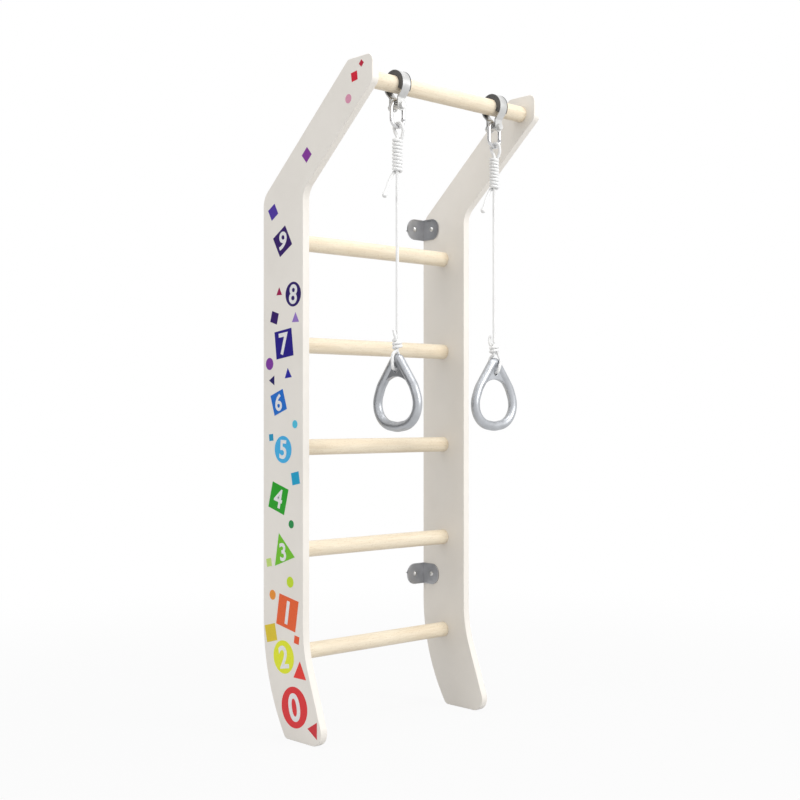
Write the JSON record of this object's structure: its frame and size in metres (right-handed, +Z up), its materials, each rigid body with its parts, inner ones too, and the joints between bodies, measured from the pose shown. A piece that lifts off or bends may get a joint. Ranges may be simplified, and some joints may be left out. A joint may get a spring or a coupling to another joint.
{
  "type": "wall bars with hanging gym rings",
  "caption": "Children's climbing frame for a wall: bent white side panels, round wooden rungs, a pull-up bar, and gym rings on ropes.",
  "frame": {"origin": "centre of the frame's box on the floor", "axes": "+Z up, +Y to the wall, +X to the right for someone who faces the wall; the rungs run along X"},
  "size_m": [0.516, 0.431, 1.45],
  "materials": {
    "painted_board": "satin white paint",
    "beech_wood": "clear satin lacquer",
    "bracket_paint": "satin grey paint",
    "screw_steel": "zinc plated",
    "bush_plastic": "matt black",
    "hanger_steel": "zinc plated",
    "hook_steel": "bright plated",
    "white_rope": "braided",
    "ring_plastic": "smooth moulded"
  },
  "bodies": {
    "frame": {"left_side_panel": "painted_board", "right_side_panel": "painted_board", "rung_1": "beech_wood", "rung_2": "beech_wood", "rung_3": "beech_wood", "rung_4": "beech_wood", "rung_5": "beech_wood", "pull_up_bar": "beech_wood", "left_upper_bracket": "bracket_paint", "left_lower_bracket": "bracket_paint", "right_upper_bracket": "bracket_paint", "right_lower_bracket": "bracket_paint", "bracket_panel_screws": "screw_steel", "bracket_wall_screws": "screw_steel", "left_hanger_bush": "bush_plastic", "right_hanger_bush": "bush_plastic"},
    "left_hanger": {"left_hanger_strap": "hanger_steel", "left_hanger_bolt": "hanger_steel", "left_hanger_nut": "hanger_steel", "left_hanger_washers": "hanger_steel", "left_hanger_spacer": "hanger_steel"},
    "left_hook": {"left_snap_hook": "hook_steel", "left_hook_rivet": "hook_steel", "left_rope_eye": "white_rope", "left_rope_knot": "white_rope", "left_rope_tail": "white_rope", "left_rope": "white_rope"},
    "left_gate": {"left_hook_gate": "hook_steel"},
    "left_ring_rope": {"left_ring_knot": "white_rope", "left_ring_loop": "white_rope", "left_ring_knot_tail": "white_rope"},
    "left_ring": {"left_gym_ring": "ring_plastic"},
    "right_hanger": {"right_hanger_strap": "hanger_steel", "right_hanger_bolt": "hanger_steel", "right_hanger_nut": "hanger_steel", "right_hanger_washers": "hanger_steel", "right_hanger_spacer": "hanger_steel"},
    "right_hook": {"right_snap_hook": "hook_steel", "right_hook_rivet": "hook_steel", "right_rope_eye": "white_rope", "right_rope_knot": "white_rope", "right_rope_tail": "white_rope", "right_rope": "white_rope"},
    "right_gate": {"right_hook_gate": "hook_steel"},
    "right_ring_rope": {"right_ring_knot": "white_rope", "right_ring_loop": "white_rope", "right_ring_knot_tail": "white_rope"},
    "right_ring": {"right_gym_ring": "ring_plastic"}
  },
  "joints": [
    {"name": "left_hanger_swing", "type": "hinge", "parent": "frame", "child": "left_hanger", "pos_m": [-0.15, -0.1425, 1.409], "axis": [1, 0, 0], "range_deg": [-75, 8]},
    {"name": "left_hook_sway", "type": "hinge", "parent": "left_hanger", "child": "left_hook", "pos_m": [-0.15, -0.1425, 1.364], "axis": [0, 1, 0], "range_deg": [-8, 8]},
    {"name": "left_gate_hinge", "type": "hinge", "parent": "left_hook", "child": "left_gate", "pos_m": [-0.133, -0.1425, 1.3373], "axis": [0, -1, 0], "range_deg": [0, 30], "stiffness_Nm_per_rad": 0.02, "springref_deg": -20.05},
    {"name": "left_rope_twist", "type": "hinge", "parent": "left_hook", "child": "left_ring_rope", "pos_m": [-0.15, -0.1425, 0.89016], "axis": [0, 0, 1], "range_deg": [-90, 90]},
    {"name": "left_ring_rock", "type": "hinge", "parent": "left_ring_rope", "child": "left_ring", "pos_m": [-0.15, -0.1425, 0.80651], "axis": [1, 0, 0], "range_deg": [-20, 20]},
    {"name": "right_hanger_swing", "type": "hinge", "parent": "frame", "child": "right_hanger", "pos_m": [0.15, -0.1425, 1.409], "axis": [1, 0, 0], "range_deg": [-75, 8]},
    {"name": "right_hook_sway", "type": "hinge", "parent": "right_hanger", "child": "right_hook", "pos_m": [0.15, -0.1425, 1.364], "axis": [0, 1, 0], "range_deg": [-8, 8]},
    {"name": "right_gate_hinge", "type": "hinge", "parent": "right_hook", "child": "right_gate", "pos_m": [0.167, -0.1425, 1.3373], "axis": [0, -1, 0], "range_deg": [0, 30], "stiffness_Nm_per_rad": 0.02, "springref_deg": -20.05},
    {"name": "right_rope_twist", "type": "hinge", "parent": "right_hook", "child": "right_ring_rope", "pos_m": [0.15, -0.1425, 0.89016], "axis": [0, 0, 1], "range_deg": [-90, 90]},
    {"name": "right_ring_rock", "type": "hinge", "parent": "right_ring_rope", "child": "right_ring", "pos_m": [0.15, -0.1425, 0.80651], "axis": [0, 1, 0], "range_deg": [-20, 20]}
  ]
}
